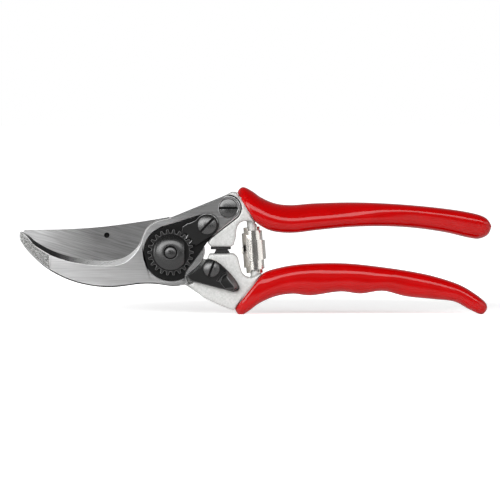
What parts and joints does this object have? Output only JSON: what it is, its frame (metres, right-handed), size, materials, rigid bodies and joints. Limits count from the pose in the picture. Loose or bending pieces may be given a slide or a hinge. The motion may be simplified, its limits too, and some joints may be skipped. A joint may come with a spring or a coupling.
{
  "type": "bypass pruner",
  "caption": "Hand pruner with a hooked counter blade, a curved cutting blade, red grips, a volute spring, a toothed pivot nut and a thumb catch.",
  "frame": {"origin": "centre of the bounding box at its lowest level, under the closed tool standing on its lower grip", "axes": "+X from the blades' tips to the grips' ends, +Y from the nut's side to the bolt head's side, +Z from the lower handle to the upper one; the front faces -Y"},
  "size_m": [0.215, 0.0198, 0.0577],
  "materials": {
    "cutting_blade": "brushed",
    "counter_blade": "brushed along its length",
    "upper_handle": "blasted",
    "lower_handle": "blasted",
    "upper_grip": "glossy dipped vinyl",
    "lower_grip": "glossy dipped vinyl",
    "pivot_bolt": "blackened",
    "pivot_bush": "turned",
    "bolt_washer": "turned",
    "thrust_plate": "blackened",
    "adjusting_nut": "blackened",
    "toothed_segment": "blackened",
    "segment_screw": "blackened",
    "segment_sleeve_nut": "plated",
    "counter_blade_screw": "blackened",
    "counter_blade_sleeve_nut": "plated",
    "thumb_catch": "blackened",
    "catch_screw": "blackened",
    "catch_spring_washer": "plated",
    "volute_spring": "nickel plated",
    "stop_pad": "matte",
    "bumper": "matte"
  },
  "bodies": {
    "lower": {"lower_handle": "lower_handle", "lower_grip": "lower_grip", "cutting_blade": "cutting_blade", "pivot_bush": "pivot_bush", "bolt_washer": "bolt_washer", "bumper": "bumper", "catch_screw": "catch_screw", "catch_spring_washer": "catch_spring_washer", "volute_spring": "volute_spring"},
    "upper": {"upper_handle": "upper_handle", "upper_grip": "upper_grip", "counter_blade": "counter_blade", "counter_blade_screw": "counter_blade_screw", "counter_blade_sleeve_nut": "counter_blade_sleeve_nut", "segment_screw": "segment_screw", "segment_sleeve_nut": "segment_sleeve_nut", "toothed_segment": "toothed_segment", "adjusting_nut": "adjusting_nut", "thrust_plate": "thrust_plate", "pivot_bolt": "pivot_bolt", "stop_pad": "stop_pad"},
    "catch": {"thumb_catch": "thumb_catch"}
  },
  "joints": [
    {"name": "handles_open", "type": "hinge", "parent": "lower", "child": "upper", "pos_m": [-0.03853, 0, 0.02838], "axis": [0, -1, 0], "range_deg": [0, 25], "deforming": ["volute_spring"]},
    {"name": "catch_swing", "type": "hinge", "parent": "lower", "child": "catch", "pos_m": [-0.01993, 0, 0.02098], "axis": [0, -1, 0], "range_deg": [0, 15]}
  ]
}
